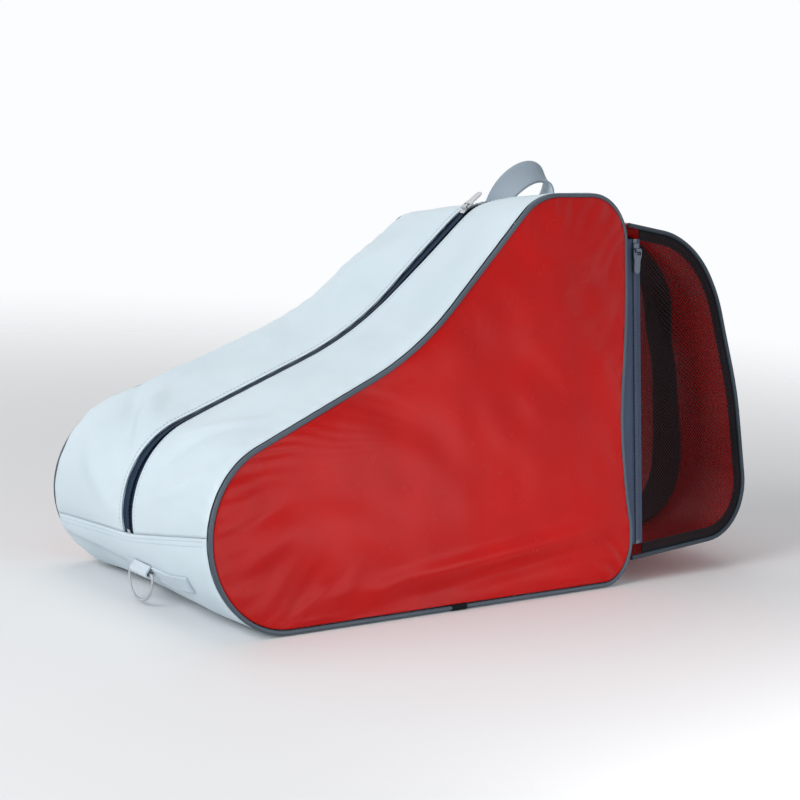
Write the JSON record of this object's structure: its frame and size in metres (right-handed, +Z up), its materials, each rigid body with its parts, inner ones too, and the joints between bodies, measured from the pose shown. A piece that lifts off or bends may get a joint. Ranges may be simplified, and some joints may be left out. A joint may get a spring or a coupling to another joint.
{
  "type": "skate bag",
  "caption": "Boot-shaped carry bag for a pair of skates: red sides, silver gusset with a zip over the top, carry handle, strap rings and a net-sided pocket behind the heel.",
  "frame": {"origin": "on the underside of the base panel, in the middle of its width, 250 mm behind the tip of the nose", "axes": "+X from the nose towards the heel, +Y from the left side to the right side, +Z up"},
  "size_m": [0.5872, 0.2632, 0.3537],
  "materials": {
    "silver_pvc": "pale silver-blue coated cloth with a soft satin shine",
    "silver_webbing": "woven webbing in the gusset's pale silver",
    "red_pvc": "red coated cloth, smooth, with a soft gloss",
    "slate_piping": "slate corded piping",
    "dark_net": "dark see-through net",
    "black_webbing": "matt black tape and webbing",
    "grey_lining": "dark grey lining cloth",
    "navy_tape": "dark navy zip tape",
    "navy_coil": "dark navy nylon coil",
    "blue_tape": "slate-blue zip tape",
    "blue_coil": "slate-blue nylon coil",
    "bright_metal": "bright plated metal"
  },
  "bodies": {
    "bag": {"base_panel": "silver_pvc", "carry_handle": "silver_webbing", "crown_panel": "silver_pvc", "crown_ring_tab": "silver_webbing", "heel_panel": "grey_lining", "nose_panel": "silver_pvc", "nose_ring_tab": "silver_webbing", "piping_left": "slate_piping", "piping_right": "slate_piping", "pocket_band": "red_pvc", "pocket_hem_left": "black_webbing", "pocket_hem_right": "black_webbing", "pocket_net_left": "dark_net", "pocket_net_right": "dark_net", "pocket_piping_left": "slate_piping", "pocket_piping_right": "slate_piping", "pocket_strap": "black_webbing", "side_panel_left": "red_pvc", "side_panel_right": "red_pvc", "side_zip_bottom_stop": "bright_metal", "side_zip_coil": "blue_coil", "side_zip_tape_bag": "blue_tape", "side_zip_tape_net": "blue_tape", "side_zip_top_stop": "bright_metal", "top_gusset_left": "silver_pvc", "top_gusset_right": "silver_pvc", "zip_bottom_stop": "bright_metal", "zip_coil": "navy_coil", "zip_tape_left": "navy_tape", "zip_tape_right": "navy_tape", "zip_top_stop": "bright_metal"},
    "main_slider": {"zip_slider": "bright_metal"},
    "main_pull": {"zip_pull": "bright_metal"},
    "side_slider": {"side_zip_slider": "bright_metal"},
    "side_pull": {"side_zip_pull": "bright_metal"},
    "front_ring": {"nose_ring": "bright_metal"},
    "rear_ring": {"crown_ring": "bright_metal"}
  },
  "joints": [
    {"name": "main_zip_slide", "type": "slide", "parent": "bag", "child": "main_slider", "axis": [0.7278, 0, 0.6858], "range_m": [-0.092, 0]},
    {"name": "main_pull_hinge", "type": "hinge", "parent": "main_slider", "child": "main_pull", "pos_m": [0.06088, 0, 0.31394], "axis": [0, -1, 0], "range_deg": [0, 150]},
    {"name": "side_zip_slide", "type": "slide", "parent": "bag", "child": "side_slider", "axis": [0, 0.1387, 0.9903], "range_m": [-0.234, 0]},
    {"name": "side_pull_hinge", "type": "hinge", "parent": "side_slider", "child": "side_pull", "pos_m": [0.19654, -0.07014, 0.28476], "axis": [-0.9982, -0.0594, 0.0083], "range_deg": [0, 165]},
    {"name": "front_ring_hinge", "type": "hinge", "parent": "bag", "child": "front_ring", "pos_m": [-0.23992, -0.008, 0.02773], "axis": [0, 1, 0], "range_deg": [-45, 120]},
    {"name": "rear_ring_hinge", "type": "hinge", "parent": "bag", "child": "rear_ring", "pos_m": [0.16701, 0.00118, 0.31751], "axis": [0, 0.9686, -0.2487], "range_deg": [-135, 0]}
  ]
}
